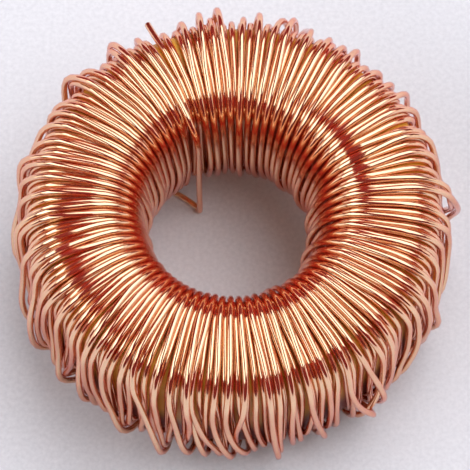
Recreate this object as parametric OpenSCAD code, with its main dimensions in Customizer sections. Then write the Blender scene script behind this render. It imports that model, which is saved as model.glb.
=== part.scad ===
// Toroidal inductor: a coated ring of pressed iron powder, wound all round with one length
// of enamelled copper wire. Millimetres, +Z up. The origin lies on the floor, on the axis
// of the ring, and the wire is what the part stands on.

/* [Core] */
// Outer diameter of the coated ring
core_od = 26.9; // [26:0.1:28]
// Diameter of the hole in the coated ring, before it is wound
core_id = 14.5; // [14.3:0.1:15]
// Height of the coated ring
core_h = 11.1; // [9:0.1:13]
// Rounding of the edges of the ring
core_edge = 2; // [1.3:0.1:2.2]

/* [Wire] */
// Diameter of the wire over its enamel
wire_d = 0.44; // [0.38:0.01:0.44]
// Turns that one layer takes to go once round the ring
layer_turns = 74; // [60:1:74]

/* [Winding] */
// Direction in which the winding starts and ends, before the drift is added, in degrees
seam = 110.5; // [0:0.5:359.5]
// Direction in which the turns lie furthest apart, in degrees
sparse_side = 35; // [0:1:359]
// How far the turns have drifted from the sparse side to the opposite one, in degrees
drift = 5; // [0:0.5:5]
// How far the turns crowd together and spread at the foot of the outer wall, in degrees
bunching = 1; // [0:0.1:1.2]
// How far turns of the middle layer lean to a side at the foot of the outer wall, in degrees
middle_lean = 4.2; // [0:0.1:4.5]
// The same for turns of the outermost layer
outermost_lean = 6.5; // [0:0.1:6.5]
// The same for slack turns
slack_lean = 8.5; // [0:0.1:9]
// Share of the outermost turns that are slack and lie across their neighbours
slack_share = 0.3; // [0:0.01:0.35]
// Largest stand-off of a slack turn from the turns under it
slack_rise = 0.35; // [0:0.05:0.5]
// How far the outermost turns stand off the outer wall halfway up
wall_bow = 0.6; // [0:0.05:0.8]
// How far the outermost turns stand off the wall of the hole halfway up
hole_bow = 1.65; // [0:0.05:1.7]

/* [Hidden] */

wire_r = wire_d / 2;
layers = 3;
pitch = 360 / layer_turns;
last_turn = layers * layer_turns - 2;
bend = tan(22.5);

// Centres of the rounding of the ring's edges, with the ring's middle at height 0
inner = core_id / 2 + core_edge;
outer = core_od / 2 - core_edge;
edge_z = core_h / 2 - core_edge;

// The ten stops of a turn, in the order in which the wire meets them. Each has the
// radius and height of a centre, and the way out from it. The ways lie halfway between
// two straight runs of wire, so that each run keeps its distance from the ring.
STOPS = [
    [inner, -edge_z, -bend, -1],
    [outer, -edge_z, bend, -1],
    [outer, -edge_z, 1, -bend],
    [outer, 0, 1, 0],
    [outer, edge_z, 1, bend],
    [outer, edge_z, bend, 1],
    [inner, edge_z, -bend, 1],
    [inner, edge_z, -1, bend],
    [inner, 0, -1, 0],
    [inner, -edge_z, -1, -bend]
];
stops = len(STOPS);
wall_foot = 2;
wall_middle = 3;
top_inner = 6;
hole_top = 7;
hole_middle = 8;

// Layer of a turn, from 0 for the innermost. Inner layers lie straight on the walls, so
// they pass the middles of the walls without a bend.
function layer(turn) = floor(turn / layer_turns);
function is_outermost(turn) = layer(turn) == layers - 1;
function bends(turn, stop) = stop == hole_middle ? is_outermost(turn)
    : stop == wall_middle ? layer(turn) > 0
    : true;
function straightened(turn, values) = [
    for (stop = [0:stops - 1])
        bends(turn, stop) ? values[stop] : (values[stop - 1] + values[stop + 1]) / 2
];

function ramp(x) = x <= 0 ? 0 : x >= 1 ? 1 : x * x * (3 - 2 * x);
function part_of(x) = x - floor(x);

// A value from -1 to 1 that looks random from one turn to the next
golden = 0.618034;
function scatter(turn, salt) = 2 * part_of(turn * (turn * golden + salt)) - 1;

// Slack turns are spread over the outermost layer, and none lies by the end of the wire
function is_slack(turn) = turn > last_turn - layer_turns + 5 && turn < last_turn - 5
    && part_of(turn * golden) < slack_share;

// Radius and height of a place beside a stop, at a lift above the ring's surface
function place(stop, lift) = [
    STOPS[stop][0] + STOPS[stop][2] * (core_edge + lift),
    STOPS[stop][1] + STOPS[stop][3] * (core_edge + lift)
];

// How far out a stop is, from 0 on the inner wall to 1 on the outer one, and how high
function outness(stop) = ramp((place(stop, 0)[0] - core_id / 2) / (core_od - core_id) * 2);
function highness(stop) = place(stop, 0)[1] / core_h + 0.5;

// Direction of a turn at a stop before anything pushes it aside. Each layer starts half a
// gap on from the one under it, so that its turns lie in the grooves between turns.
// The turns have all drifted a little away from the sparse side.
function even_angle(turn, stop) =
    let (even = seam - pitch * (turn + stop / stops + layer(turn) / 2))
    even + drift * sin(even - sparse_side);

// Crowding that neighbouring turns share, greatest at the foot of the outer wall
function crowd(angle, high) = bunching * (1 - 0.65 * high)
    * (sin(11 * angle + 190 * high) + 0.6 * sin(17 * angle - 140 * high));

// The notch that is left beside the start of the wire, where turns lean to both sides
notch = even_angle(1.3, 0);
notch_lean = 1.5;
notch_reach = 11;
function notched(angle, high) =
    let (away = (angle - notch + 900) % 360 - 180)
    high * notch_lean * away / sqrt(1 + away * away) * exp(-pow(away / notch_reach, 2));

// Lean of one turn to its own side: most at the foot of the outer wall, some halfway up
LEANS = [0.4, middle_lean, outermost_lean];
function lean(turn, stop) =
    let (high = highness(stop), foot = pow(1 - high, 1.7) * ramp(stop / 1.5))
    (is_slack(turn) ? slack_lean : LEANS[layer(turn)])
        * (scatter(turn, 0.17) * foot + 1.4 * scatter(turn, 0.31) * high * (1 - high)
           + 0.12 * scatter(turn, 0.43) * high);

ANGLES = [for (turn = [0:last_turn]) straightened(turn, [
    for (stop = [0:stops - 1])
        let (even = even_angle(turn, stop), high = highness(stop))
        even + outness(stop) * (crowd(even, high) + notched(even, high) + lean(turn, stop))
])];

// Directions of one turn from another at a stop, the short way round
function apart(turn, other, stop) =
    (ANGLES[turn][stop] - ANGLES[other][stop] + 900) % 360 - 180;
function crosses(turn, other, stop) = stop >= 0 && stop < stops - 1
    && apart(turn, other, stop) * apart(turn, other, stop + 1) < 0;

// Smallest angle between two turns at a stop and halfway to the stops beside it
function nearest(turn, other, stop) = min([
    for (beside = [max(0, stop - 1):min(stops - 1, stop + 1)])
        abs(apart(turn, other, stop) + apart(turn, other, beside)) / 2
]);

// Lift of a turn that rests on another: a wire diameter more where they cross, and less
// where they lie side by side
clearance = 1.04 * wire_d;
function resting(turn, other, stop, lift) =
    let (sideways = nearest(turn, other, stop) * place(stop, lift)[0] * PI / 180)
    crosses(turn, other, stop - 1) || crosses(turn, other, stop) ? lift + clearance
    : sideways < wire_d ? lift + sqrt(clearance * clearance - sideways * sideways)
    : 0;

// Share of the bow that a turn has at each stop of the outer wall and of the hole, from
// the foot of the wall up and from the top of the hole down. Wire stands off a wall where
// nothing presses it down: halfway up, and in the hole also near the top. In the hole the
// turns are packed side by side, so they stand off further on the sparse side.
WALL_SHARES = [0.5, 1, 0.5];
HOLE_SHARES = [0.35, 1, 0.1];
bow_shift = 0.054 * drift;
function on_wall(stop) = stop >= wall_foot && stop < wall_foot + len(WALL_SHARES);
function bow(turn, stop) =
    on_wall(stop) ? wall_bow * layer(turn) / (layers - 1) * (1 + 0.35 * scatter(turn, 0.53))
        * WALL_SHARES[stop - wall_foot]
    : stop >= hole_top && is_outermost(turn)
        ? hole_bow * HOLE_SHARES[stop - hole_top] * (1 + 0.08 * scatter(turn, 0.71)
            + bow_shift * cos(even_angle(turn, stop) - sparse_side))
    : 0;
function slack(turn, stop) =
    (is_slack(turn) ? slack_rise * part_of(turn * 0.37) : 0.04 * (1 + scatter(turn, 0.29)))
        * outness(stop) * (on_wall(stop) ? 1 : 0.3);

// Earlier turns that a turn can touch, in its own layer and in those under it
near = 4;
function below(turn) = [
    for (layers_down = [0:layer(turn)])
        let (middle = turn - layers_down * layer_turns)
        for (other = [max(0, middle - near):min(turn - 1, middle + near)])
            other
];

// The turns are laid one after another, and each rests on all that it meets
function laid(turn, lifts) = turn > last_turn ? lifts
    : let (under = below(turn))
      laid(turn + 1, concat(lifts, [straightened(turn, [
          for (stop = [0:stops - 1])
              slack(turn, stop) + max(concat([wire_r + bow(turn, stop)],
                  [for (other = under) resting(turn, other, stop, lifts[other][stop])]))
      ])]));
LIFTS = laid(0, []);

// The wire is drawn with three sides: a ridge on its way out from the ring, and a flat
// face towards the ring. Each corner lies some wire radii out and aside.
CORNERS = [[1, 0], [-0.6, 1], [-0.6, -1]];
wire_sides = len(CORNERS);
function ring(at, way, angle) = [
    for (corner = CORNERS)
        let (radius = at[0] + way[0] * wire_r * corner[0], aside = wire_r * corner[1])
        [radius * cos(angle) - aside * sin(angle),
         radius * sin(angle) + aside * cos(angle),
         at[1] + way[1] * wire_r * corner[0]]
];
function stop_ring(turn, stop) = ring(place(stop, LIFTS[turn][stop]),
    [STOPS[stop][2], STOPS[stop][3]], ANGLES[turn][stop]);

turn_rings = [
    for (count = [top_inner:last_turn * stops + top_inner])
        let (turn = floor(count / stops), stop = count % stops)
        if (bends(turn, stop)) stop_ring(turn, stop)
];
floor_z = min([for (corners = turn_rings) for (point = corners) point[2]]);

// The start of the wire stands out over the outer edge of the ring
start_angle = even_angle(0, top_inner) + 0.22 * pitch;
start_rings = [
    ring([core_od / 2 + 0.75, core_h / 2 + wire_r + 0.2], [0, 1], start_angle),
    ring([outer - 1, core_h / 2 + wire_r], [0, 1], start_angle)
];

// The end runs straight down the hole, over the other turns, and out along the floor
end_angle = even_angle(last_turn, hole_top);
end_radius = core_id / 2 - LIFTS[last_turn - 1][hole_middle] - 1.5 * wire_d;
end_rings = [
    ring([end_radius, edge_z], [-1, bend], end_angle),
    ring([end_radius, floor_z + wire_d], [-1, -bend], end_angle),
    ring([end_radius + wire_r, floor_z + wire_r], [-bend, -1], end_angle),
    ring([end_radius + 2.6, floor_z + wire_r], [0, -1], end_angle + 9)
];

// Faces of a tube through a row of rings, closed at both ends
function tube_faces(count, sides) = [
    [for (side = [sides - 1:-1:0]) side],
    for (row = [0:count - 2]) for (side = [0:sides - 1])
        let (here = row * sides + side, next = row * sides + (side + 1) % sides)
        [here, next, next + sides, here + sides],
    [for (side = [0:sides - 1]) (count - 1) * sides + side]
];

module core() {
    color("goldenrod")
    translate([0, 0, -floor_z])
    rotate_extrude($fn = 180)
    union() {
        translate([core_id / 2, -edge_z])
            square([(core_od - core_id) / 2, 2 * edge_z]);
        translate([inner, -core_h / 2])
            square([outer - inner, core_h]);
        for (x = [inner, outer]) for (z = [-edge_z, edge_z])
            translate([x, z]) circle(r = core_edge, $fn = 64);
    }
}

module winding() {
    rings = concat(start_rings, turn_rings, end_rings);
    color("peru")
    translate([0, 0, -floor_z])
    polyhedron([for (corners = rings) each corners],
        tube_faces(len(rings), wire_sides), convexity = 20);
}

core();
winding();
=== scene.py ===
# %% [markdown]
# # A toroidal inductor
# A ring of pressed iron powder under an ochre coat, wound all round with one long piece of
# enamelled copper wire. The ring is a plain pressed form, so it comes from the CAD frame as it
# is. The wire is what the eye sees: three layers of turns, tight in the hole and loose outside.
# This lesson lays the wire turn by turn, as a winding machine does, and then lights it.

# %% Load the frame and keep its box
import bpy
import bmesh
import math
import numpy as np
from mathutils import Matrix, Vector


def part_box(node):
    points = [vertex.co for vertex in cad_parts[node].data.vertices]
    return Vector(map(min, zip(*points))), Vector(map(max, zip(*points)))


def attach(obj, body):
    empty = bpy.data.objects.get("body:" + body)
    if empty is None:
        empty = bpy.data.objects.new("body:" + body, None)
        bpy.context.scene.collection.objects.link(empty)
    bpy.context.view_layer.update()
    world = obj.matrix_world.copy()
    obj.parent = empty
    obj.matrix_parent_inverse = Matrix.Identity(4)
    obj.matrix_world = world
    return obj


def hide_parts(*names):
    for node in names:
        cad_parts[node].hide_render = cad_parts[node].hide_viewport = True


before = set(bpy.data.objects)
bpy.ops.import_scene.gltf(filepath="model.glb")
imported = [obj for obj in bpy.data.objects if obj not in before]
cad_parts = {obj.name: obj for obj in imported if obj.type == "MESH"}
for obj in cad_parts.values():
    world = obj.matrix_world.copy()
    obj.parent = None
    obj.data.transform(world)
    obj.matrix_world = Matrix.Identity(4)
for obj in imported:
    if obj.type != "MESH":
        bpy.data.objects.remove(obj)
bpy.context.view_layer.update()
MM = 0.001
print("nodes:", sorted(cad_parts))

# %% [markdown]
# ## The camera
# It looks down at the ring from well above the front, through a long lens, so that the ring
# shows its top, the far side of its hole and a little of its front wall. The camera is aimed
# at the middle of the ring, a touch off centre.

# %% Aim the camera
CAMERA_ELEVATION = math.radians(68)
CAMERA_DISTANCE = 250 * MM
CAMERA_LENS = 282
AIM_OFFSET = Vector((0.1 * MM, -0.1 * MM, 0))

core_low, core_high = (Vector(corner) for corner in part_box("core"))
ring_middle = (core_low + core_high) / 2
towards_camera = Vector((0, -math.cos(CAMERA_ELEVATION), math.sin(CAMERA_ELEVATION)))
camera = bpy.data.objects.new("camera", bpy.data.cameras.new("camera"))
bpy.context.collection.objects.link(camera)
camera.location = ring_middle + AIM_OFFSET + towards_camera * CAMERA_DISTANCE
camera.rotation_euler = (-towards_camera).to_track_quat("-Z", "Y").to_euler()
camera.data.lens = CAMERA_LENS
camera.data.clip_start = MM
bpy.context.scene.camera = camera
print("camera looks down by", round(math.degrees(CAMERA_ELEVATION)), "degrees")

# %% [markdown]
# ## The path round the ring
# Cut through the ring, its section is a rectangle with rounded corners. A turn of wire follows
# that outline at some height above it. We describe the outline once, as a list of samples:
# each has a centre, a way out from it, and the share of the turn that has gone by. Any height
# then gives a parallel path, with its corners rounded a little more. The ten stops that share
# the turn out are the ones where the solid model bends its wire.

# %% Sample the section of the ring
CORE_OD = (core_high.x - core_low.x) / MM
CORE_H = (core_high.z - core_low.z) / MM
CORE_ID = 14.5
CORE_EDGE = 2.0
ARC_STEPS = 6
FLAT_STEPS = 7
WALL_STEPS = 9
HOLE_STEPS = 7

inner = CORE_ID / 2 + CORE_EDGE
outer = CORE_OD / 2 - CORE_EDGE
edge_z = CORE_H / 2 - CORE_EDGE


def arc(centre, start, stops):
    """Samples on a rounded corner: (centre radius, centre height, way out, stop)."""
    for step in range(ARC_STEPS):
        turned = math.radians(start + 90 * step / ARC_STEPS)
        yield (*centre, math.cos(turned), math.sin(turned), stops + step / ARC_STEPS)


def run(start, end, way, stops, count, length=1):
    """Samples on a straight stretch between two corners."""
    for step in range(count):
        share = step / count
        yield (start[0] + (end[0] - start[0]) * share, start[1] + (end[1] - start[1]) * share,
               *way, stops + length * share)


LOW_IN, LOW_OUT = (inner, -edge_z), (outer, -edge_z)
HIGH_OUT, HIGH_IN = (outer, edge_z), (inner, edge_z)
section = np.array([
    *run(LOW_IN, LOW_OUT, (0, -1), 0, FLAT_STEPS),
    *arc(LOW_OUT, -90, 1),
    *run(LOW_OUT, HIGH_OUT, (1, 0), 2, WALL_STEPS, length=2),
    *arc(HIGH_OUT, 0, 4),
    *run(HIGH_OUT, HIGH_IN, (0, 1), 5, FLAT_STEPS),
    *arc(HIGH_IN, 90, 6),
    *run(HIGH_IN, LOW_IN, (-1, 0), 7, HOLE_STEPS, length=2),
    *arc(LOW_IN, 180, 9),
])
STOPS = 10
samples = len(section)
centre_r, centre_z, way_r, way_z, stop = section.T


def ramp(x):
    """0 below 0, 1 above 1, and a smooth S between."""
    x = np.clip(x, 0, 1)
    return x * x * (3 - 2 * x)


bare_r = centre_r + way_r * CORE_EDGE
bare_z = centre_z + way_z * CORE_EDGE
outness = ramp((bare_r - CORE_ID / 2) / (CORE_OD - CORE_ID) * 2)
highness = bare_z / CORE_H + 0.5
PATH_LIFT = 0.9
steps = np.hypot(np.diff(bare_r + way_r * PATH_LIFT), np.diff(bare_z + way_z * PATH_LIFT))
along = np.concatenate([[0], np.cumsum(steps)])
print("one turn has", samples, "samples over", round(along[-1], 1), "mm")

# %% [markdown]
# ## Where each turn lies
# The winding goes round three times. Each turn moves on by one pitch, and each layer starts
# half a pitch late, so that it lies in the grooves of the one below. The turns are drawn
# together on one side of the ring and apart on the other, as a hand that feeds the wire does.
# In the hole they are packed tight and have no choice. On the outer wall there is room, so they
# crowd together and stray within their gaps, and nearly a third of the outermost turns are slack
# and lean across their neighbours. Simple formulas give every turn its own value, so the same
# wire comes out on every run.

# %% Directions of all turns at all samples
WIRE_D = 0.44
LAYER_TURNS = 74
LAYERS = 3
SEAM = 110.5
SPARSE_SIDE = 35
DRIFT = 5
BUNCHING = 1.0
SLACK_SHARE = 0.3
LAYER_LEANS = [0.4, 4.2, 6.5]
TOP_LEANS = [0.05, 0.5, 2.4]
SLACK_LEAN = 8.5
GOLDEN = 0.618034
NOTCH_LEAN = 1.1
NOTCH_REACH = 11

wire_r = WIRE_D / 2
pitch = 360 / LAYER_TURNS
last_turn = LAYERS * LAYER_TURNS - 2
turns = np.arange(last_turn + 1)


def part_of(x):
    return x - np.floor(x)


def scatter(turn, salt):
    """A value from -1 to 1 that looks random from one turn to the next."""
    return 2 * part_of(turn * (turn * GOLDEN + salt)) - 1


def wave(angle, shift):
    return np.sin(np.radians(angle + shift))


def drifted(even):
    """Evenly spaced directions, drawn apart on the sparse side of the ring."""
    return even + DRIFT * wave(even, -SPARSE_SIDE)


layer = turns // LAYER_TURNS
outermost = layer == LAYERS - 1
loose = (outermost & (turns > last_turn - LAYER_TURNS + 5) & (turns < last_turn - 5)
         & (part_of(turns * GOLDEN) < SLACK_SHARE))
even = drifted(SEAM - pitch * (turns[:, None] + stop[None, :] / STOPS + 0.5 * layer[:, None]))

crowd = BUNCHING * (1 - 0.65 * highness) * (
    wave(11 * even, 190 * highness) + 0.6 * wave(17 * even, -140 * highness))
away = (even - drifted(SEAM - 1.3 * pitch) + 900) % 360 - 180
notched = highness * NOTCH_LEAN * away / np.sqrt(1 + away ** 2) * np.exp(
    -(away / NOTCH_REACH) ** 2)

strays = np.where(loose, SLACK_LEAN, np.array(LAYER_LEANS)[layer])[:, None]
foot = (1 - highness) ** 1.7 * ramp(stop / 1.5)
own_way = (strays * (np.outer(scatter(turns, 0.17), foot)
                     + np.outer(0.35 * scatter(turns, 0.31), 4 * highness * (1 - highness)))
           + np.outer(np.array(TOP_LEANS)[layer] * scatter(turns, 0.43), highness))
angles = even + outness * (crowd + notched + own_way)
print(len(turns), "turns, of which", int(loose.sum()), "are slack")

# %% [markdown]
# ## How far the turns stand off the ring
# Stiff wire doesn't hug what it is wound on. It bows out from the walls, bulges into the hole,
# and a few loops stand proud of the rest at the far rim. Each turn gets its own bow, as a height
# above the ring at each sample of the section.

# %% Bow the turns
WALL_BOW = 0.6
WALL_VARIETY = 0.35
HOLE_BOW = 1.65
HOLE_VARIETY = 0.2
HOLE_SHIFT = 0.27
TOP_BOW = 0.22
PROUD_LOOPS = {103: 0.7, 94: 0.9, 85: 0.6, 74: 0.6, 128: 0.4}


def hump(start, end):
    """A half wave between two stops, and 0 elsewhere."""
    return np.where((stop > start) & (stop < end),
                    np.sin(np.pi * (stop - start) / (end - start)), 0)


wall_bow = hump(1.5, 4.5)
hole_bow = np.interp(stop, [6.2, 7, 8, 9, 9.7], [0, 0.35, 1, 0.1, 0])
rim = int(np.argmin(abs(stop - 4.5)))
proud = np.zeros(len(turns))
for direction, height in PROUD_LOOPS.items():
    off = np.where(outermost, abs((even[:, rim] - direction + 180) % 360 - 180), 999)
    proud[np.argmin(off)] = height
wall_share = layer / (LAYERS - 1) * (1 + WALL_VARIETY * scatter(turns, 0.53))
hole_share = outermost[:, None] * (1 + HOLE_VARIETY * scatter(turns, 0.71)[:, None]
                                   + HOLE_SHIFT * np.cos(np.radians(even - SPARSE_SIDE)))
bow = (WALL_BOW * np.outer(wall_share, wall_bow) + HOLE_BOW * hole_bow * hole_share
       + TOP_BOW * hump(4.1, 6.9) ** 2 + np.outer(proud, hump(2.8, 5.8) ** 2))
print("largest bow", round(float(bow.max()), 2), "mm")

# %% [markdown]
# ## How high each turn lies
# A wire that passes over another one has to climb: when it is right on top it is one diameter
# up, and when it is a diameter aside it is back down. So each turn in order rests on all the
# turns that were laid before it. Copper wire is stiff: it cannot bend more sharply than a
# parabola, so it starts to climb some way before the wire that it passes over.

# %% Lay the turns on one another
BEND_RADIUS = 5.0
SLACK = 0.35
SLIGHT_SLACK = 0.04
SLACK_ON_TOP = 0.3
SMOOTHINGS = 3

sharpest = (along[:, None] - along[None, :]) ** 2 / (2 * BEND_RADIUS)
lift = np.zeros((len(turns), samples))
slack = np.where(loose, SLACK * part_of(turns * 0.37),
                 SLIGHT_SLACK * (1 + scatter(turns, 0.29)) * (layer > 0))
for turn in turns:
    apart = (angles[turn] - angles[:turn] + 180) % 360 - 180
    distance = np.abs(np.radians(apart)) * (bare_r + way_r * WIRE_D)
    rise = np.sqrt(np.clip(WIRE_D ** 2 - distance ** 2, 0, None))
    held = np.where(distance < WIRE_D, lift[:turn] + rise, 0)
    needed = np.maximum(wire_r + bow[turn], held.max(axis=0, initial=0))
    needed = needed + slack[turn] * outness * (wall_bow + SLACK_ON_TOP)
    lift[turn] = (needed[None, :] - sharpest).max(axis=1)
rounded = lift.ravel().copy()
for _ in range(SMOOTHINGS):
    rounded[1:-1] = 0.25 * rounded[:-2] + 0.5 * rounded[1:-1] + 0.25 * rounded[2:]
lift = rounded.reshape(lift.shape)
print("highest lift", round(float(lift.max()), 2), "mm, mean", round(float(lift.mean()), 2))

# %% [markdown]
# ## The first end
# The wire starts with a short end that comes in from outside the ring, over its shoulder,
# beside a notch between the turns.

# %% Points of the first end
START_REACH = 1.25
START_DIP = math.radians(22)
START_ASIDE = 0.22


def polar(radius, height, angle):
    """Points at a radius, a height above the ring's middle and a direction."""
    turned = np.radians(angle)
    return np.stack(np.broadcast_arrays(
        radius * np.cos(turned), radius * np.sin(turned), height), axis=-1)


share = np.linspace(0, 1, 14)[:-1]
start_r = (CORE_OD / 2 + START_REACH) * (1 - share) + inner * share
bend_r = CORE_EDGE + wire_r
bend = bend_r * math.sin(START_DIP)
start_z = edge_z + np.where(
    start_r < outer + bend, np.sqrt(bend_r ** 2 - np.clip(start_r - outer, 0, bend) ** 2),
    bend_r * math.cos(START_DIP) - (start_r - outer - bend) * math.tan(START_DIP))
first_angle = drifted(SEAM - pitch * 6 / STOPS)
start = polar(start_r, start_z, first_angle + START_ASIDE * pitch * (1 - ramp(share)))
print("first end:", START_REACH, "mm past the ring at", round(float(first_angle)), "degrees")

# %% [markdown]
# ## The last end, and the whole wire
# The other end runs straight down the hole over the rest, bends at the floor and goes out under
# the ring. Then all turns and both ends are joined into one line of points. No wire may sink
# into the floor, so the lowest points are lifted to one wire radius above it.

# %% Points of the whole wire
END_STAND_OFF = 1.5 * WIRE_D
END_BEND = 0.35
END_RUN = 2.6
END_ASIDE = 9

rising = ramp(stop - 6)
end_lift = lift[last_turn - 1, np.argmin(abs(stop - 8))] + END_STAND_OFF
lift[last_turn] = lift[last_turn] * (1 - rising) + end_lift * rising
end_angle = drifted(SEAM - pitch * (last_turn + 7 / STOPS + 1.0))
end_r = CORE_ID / 2 - end_lift
low = wire_r - ring_middle.z / MM
places = polar(centre_r + way_r * (CORE_EDGE + lift), centre_z + way_z * (CORE_EDGE + lift),
               angles)
places[..., 2] = np.maximum(places[..., 2], low)
down = polar(end_r, np.linspace(edge_z, low + END_BEND, 12)[1:], end_angle)
quarter = np.radians(np.linspace(0, 90, 7)[1:])
curl = polar(end_r + END_BEND * (1 - np.cos(quarter)), low + END_BEND * (1 - np.sin(quarter)),
             end_angle)
out = np.linspace(0, 1, 7)[1:]
away_run = polar(end_r + END_BEND + (END_RUN - END_BEND) * out, low, end_angle + END_ASIDE * out)

turn_places = places.reshape(-1, 3)
first_sample = int(np.argmax(stop >= 6))
last_sample = last_turn * samples + int(np.argmax(stop >= 7)) + 1
wire_places = np.concatenate([start, turn_places[first_sample:last_sample], down, curl, away_run])
wire_steps = np.linalg.norm(np.diff(wire_places, axis=0), axis=1)
print(len(wire_places), "points and", round(wire_steps.sum() / 1000, 2), "m of wire")

# %% [markdown]
# ## From points to wire
# A curve with a round bevel is the natural way to make wire: Blender sweeps the circle along
# the points and keeps it square to the path. It is then turned into a mesh, so that the object
# is an ordinary piece with its place in its mesh. Each vertex also gets a random tone for its
# turn, which the finish uses. The sweep writes one circle of vertices after the other, so a
# vertex's number tells which point of the path it belongs to.

# %% Sweep the wire
WIRE_SIDES = 8

path = bpy.data.curves.new("wire_path", "CURVE")
path.dimensions = "3D"
path.bevel_depth = wire_r * MM
path.bevel_resolution = (WIRE_SIDES - 4) // 2
path.use_fill_caps = True
spline = path.splines.new("POLY")
spline.points.add(len(wire_places) - 1)
centred = wire_places * MM + np.array(ring_middle)
spline.points.foreach_set("co", np.column_stack([centred, np.ones(len(centred))]).ravel())
sweep = bpy.data.objects.new("wire_sweep", path)
bpy.context.collection.objects.link(sweep)
swept = sweep.evaluated_get(bpy.context.evaluated_depsgraph_get())
wire_mesh = bpy.data.meshes.new_from_object(swept)
bpy.data.objects.remove(sweep)
wire_mesh.shade_smooth()

point_of = np.arange(len(wire_mesh.vertices)) * len(wire_places) // len(wire_mesh.vertices)
turn_of = (point_of - len(start) + first_sample) // samples
tone = wire_mesh.attributes.new("tone", "FLOAT", "POINT")
tone.data.foreach_set("value", scatter(turn_of, 0.37))
print("wire mesh:", len(wire_mesh.vertices), "vertices", len(wire_mesh.polygons), "faces")

winding = bpy.data.objects.new("wire", wire_mesh)
bpy.context.collection.objects.link(winding)
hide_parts("winding")
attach(winding, "root")

# %% [markdown]
# ## A small language for materials
# A material is a net of nodes. To write one as an expression, we wrap a socket in a class whose
# operators add the Math node that they stand for.

# %% Wrap sockets
class Socket:
    def __init__(self, tree, output):
        self.tree, self.output = tree, output

    def node(self, kind, settings=None, out=0, **inputs):
        """Any other node, in the same tree."""
        return add_node(self.tree, kind, settings, out, **inputs)

    def math(self, operation, other, swap=False):
        first, second = (other, self) if swap else (self, other)
        return self.node("ShaderNodeMath", {"operation": operation},
                         **{"0": first, "1": second})

    def __add__(self, other): return self.math("ADD", other)
    def __radd__(self, other): return self.math("ADD", other, swap=True)
    def __sub__(self, other): return self.math("SUBTRACT", other)
    def __rsub__(self, other): return self.math("SUBTRACT", other, swap=True)
    def __mul__(self, other): return self.math("MULTIPLY", other)
    def __rmul__(self, other): return self.math("MULTIPLY", other, swap=True)
    def __truediv__(self, other): return self.math("DIVIDE", other)
    def __rtruediv__(self, other): return self.math("DIVIDE", other, swap=True)


print("operators:", [name for name in vars(Socket)
                     if name.endswith(("add__", "sub__", "mul__", "truediv__"))])

# %% [markdown]
# ### Nodes without an operator
# All other nodes are added by one function: it takes the node's settings, and each socket's value
# or the wrapped socket that feeds it. Three short helpers give the pieces that every finish
# starts from: an empty material with its object coordinates, noise with a grain in millimetres,
# and a blend of two colours.

# %% Add nodes
def add_node(tree, kind, settings=None, out=0, **inputs):
    """Add a node with its settings and the values or links of its sockets."""
    node = tree.nodes.new(kind)
    for name, value in (settings or {}).items():
        setattr(node, name, value)
    for name, value in inputs.items():
        key = int(name) if name.isdigit() else name.replace("_", " ")
        if isinstance(value, Socket):
            tree.links.new(value.output, node.inputs[key])
        else:
            node.inputs[key].default_value = value
    return Socket(tree, node.outputs[out]) if node.outputs else None


def new_material(name):
    """A material with an empty tree, and the socket of its object coordinates."""
    material = bpy.data.materials.new(name)
    material.use_nodes = True
    material.node_tree.nodes.clear()
    place = add_node(material.node_tree, "ShaderNodeTexCoord", out=3)
    return material, material.node_tree, place


def noise(place, grain, detail=2.0):
    """Cloudy noise from 0 to 1, with a grain in millimetres."""
    return place.node("ShaderNodeTexNoise", Vector=place, Scale=1 / (grain * MM), Detail=detail)


def blend(factor, low, high):
    """A colour between two others, each a tuple or the socket of a colour."""
    low, high = (side if isinstance(side, Socket) else (*side, 1) for side in (low, high))
    return factor.node("ShaderNodeMix", {"data_type": "RGBA"}, out=2,
                       **{"0": factor, "6": low, "7": high})


print("helpers:", [helper.__name__ for helper in (add_node, new_material, noise, blend)])

# %% [markdown]
# ## Enamelled copper
# Winding wire is bright drawn copper under a clear enamel. Three things make its colour. The
# metal mirrors its surroundings in copper tones. The enamel adds a thin white mirror on top.
# And its resin is stained amber red, so it glows deep red where nothing bright is mirrored:
# in the grooves, and on every bend that faces the dark. The last one is a second, plain shader
# mixed in by about a third, a little more or less from turn to turn and along the wire.

# %% Finish of the wire
copper, tree, place = new_material("enamelled_copper")
own_tone = add_node(tree, "ShaderNodeAttribute", {"attribute_name": "tone"}, out=2)
patches = noise(place, 2.5)
metal = add_node(tree, "ShaderNodeBsdfPrincipled",
                 Base_Color=blend(0.5 + 0.35 * own_tone, (0.97, 0.71, 0.36), (0.98, 0.79, 0.43)),
                 Metallic=1.0, Roughness=0.1 + 0.07 * patches,
                 Specular_Tint=(0.85, 0.2, 0.06, 1),
                 Coat_Weight=1.0, Coat_Roughness=0.06, Coat_IOR=2.6)
enamel = add_node(tree, "ShaderNodeBsdfPrincipled", Base_Color=(0.8, 0.03, 0.02, 1),
                  Roughness=0.25)
stain = 0.2 + 0.05 * own_tone + 0.18 * patches
shader = add_node(tree, "ShaderNodeMixShader", **{"0": stain, "1": metal, "2": enamel})
add_node(tree, "ShaderNodeOutputMaterial", Surface=shader)
wire_mesh.materials.append(copper)
print(copper.name, "has", len(tree.nodes), "nodes")
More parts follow.
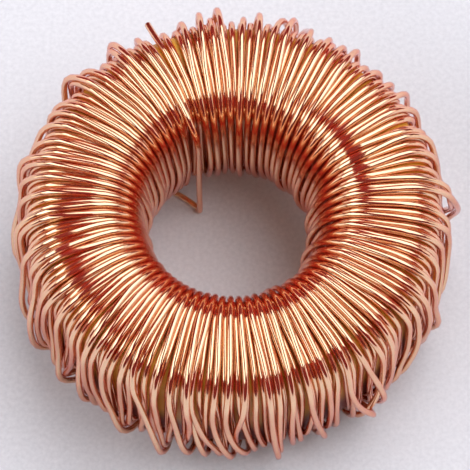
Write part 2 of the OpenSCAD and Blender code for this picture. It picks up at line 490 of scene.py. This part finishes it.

# %% [markdown]
# ## The coat of the ring
# Powder rings get a hard ochre coat. It
# keeps some of the grain of the pressed powder, so its colour is speckled and its surface is a
# little rough. Towards the foot the colour is painted dark red as shade: it stands for the shadow
# low on the wall and the red light that the wire throws there. The height at which this painted
# shade begins is read from the object coordinates.

# %% Finish of the ring
coat, tree, place = new_material("core_coating")
speckle = noise(place, 0.25, detail=4.0)
cloud = noise(place, 3.0)
grain = place.node("ShaderNodeBump", Strength=0.3, Distance=0.05 * MM, Height=speckle)
height = place.node("ShaderNodeSeparateXYZ", out=2, Vector=place)
# Painted shade: below a height of 5 to 8 mm the ochre turns dark red, standing for the shadow and
# the wire's red bounce light at the ring's foot.
above_painted_shade = height.node("ShaderNodeMapRange", {"interpolation_type": "SMOOTHSTEP"},
                         Value=height, From_Min=5 * MM, From_Max=8 * MM)
ochre = blend(0.6 * speckle + 0.4 * cloud, (0.85, 0.3, 0.02), (0.97, 0.62, 0.09))
shader = add_node(tree, "ShaderNodeBsdfPrincipled",
                  Base_Color=blend(above_painted_shade, (0.2, 0.02, 0.012), ochre),
                  Roughness=0.35 + 0.2 * speckle, Normal=grain)
add_node(tree, "ShaderNodeOutputMaterial", Surface=shader)
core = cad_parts["core"]
core.data.materials.clear()
core.data.materials.append(coat)
print(coat.name, "has", len(tree.nodes), "nodes")

# %% [markdown] ## The floor A plain pale floor with a faint grain. The lower half of every turn
# mirrors it, so it lights the walls of the ring as much as the lamps do.

# %% Floor
FLOOR_REACH = 1500

floor_mesh = bpy.data.meshes.new("floor")
shape = bmesh.new()
bmesh.ops.create_grid(shape, x_segments=1, y_segments=1, size=FLOOR_REACH * MM)
shape.to_mesh(floor_mesh)
shape.free()
floor = bpy.data.objects.new("floor", floor_mesh)
bpy.context.collection.objects.link(floor)
paper, tree, place = new_material("floor_paper")
fibres = noise(place, 0.3, detail=4.0)
shader = add_node(tree, "ShaderNodeBsdfPrincipled",
                  Base_Color=blend(fibres, (0.66, 0.655, 0.72), (0.88, 0.875, 0.94)),
                  Roughness=0.9, Specular_IOR_Level=0.1)
add_node(tree, "ShaderNodeOutputMaterial", Surface=shader)
floor_mesh.materials.append(paper)
print("floor:", floor.dimensions.x, "m wide")

# %% [markdown]
# ## The lamps
# Polished wire is lit by what it mirrors, so the lamps are laid out as seen from the ring: each
# is a rectangle in a plane high above it, with edges given as shares of that height. The gap
# between the two softboxes draws a dark line across every bend that faces it, which shows the
# form of the ring; the pair is turned a little, so that the line runs askew. The key lamp has a
# brighter middle, which whitens the flat top. A low panel on each side keeps the side walls
# bright, and a weak lamp beyond the key fills the right shoulder.

# %% Lamps
LAMP_HEIGHT = 900
LAMP_TURN = math.radians(22)
SIDE_DISTANCE = 1900
SIDE_HEIGHT = 840
SIDE_WIDTH = 1500


def softbox(name, left, right, front, back, radiance):
    """A lamp that faces down, with its edges as shares of the lamp height."""
    place = Matrix.Rotation(LAMP_TURN, 3, "Z") @ Vector(((left + right) / 2, (front + back) / 2, 1))
    panel(name, place * LAMP_HEIGHT, (right - left) * LAMP_HEIGHT, (back - front) * LAMP_HEIGHT,
          (0, 0, LAMP_TURN), radiance)


def panel(name, place, width, depth, turned, radiance):
    """An evenly bright rectangle, turned from facing down."""
    light = bpy.data.lights.new(name, "AREA")
    light.shape = "RECTANGLE"
    light.size, light.size_y = width * MM, depth * MM
    light.energy = radiance * math.pi * light.size * light.size_y
    holder = bpy.data.objects.new(name, light)
    bpy.context.collection.objects.link(holder)
    holder.location = Vector(place) * MM
    holder.rotation_euler = turned


softbox("key", 0.03, 1.3, -0.8, 1.25, 2.1)
softbox("key_middle", 0.03, 0.55, -0.35, 0.6, 2.0)
softbox("second", -1.8, -0.64, -0.8, 1.25, 2.45)
softbox("right_fill", 1.3, 2.05, -0.8, 1.25, 1.1)
for name, side, radiance in (("left_side", -1, 1.2), ("right_side", 1, 0.9)):
    panel(name, (side * SIDE_DISTANCE, 0, SIDE_HEIGHT / 2), SIDE_HEIGHT, SIDE_WIDTH,
          (0, math.radians(90 * side), 0), radiance)

world = bpy.data.worlds.new("studio")
bpy.context.scene.world = world
world.use_nodes = True
world.node_tree.nodes["Background"].inputs["Color"].default_value = (0.015, 0.015, 0.015, 1)
world.node_tree.nodes["Background"].inputs["Strength"].default_value = 1.0
bpy.context.scene.view_settings.view_transform = "Standard"
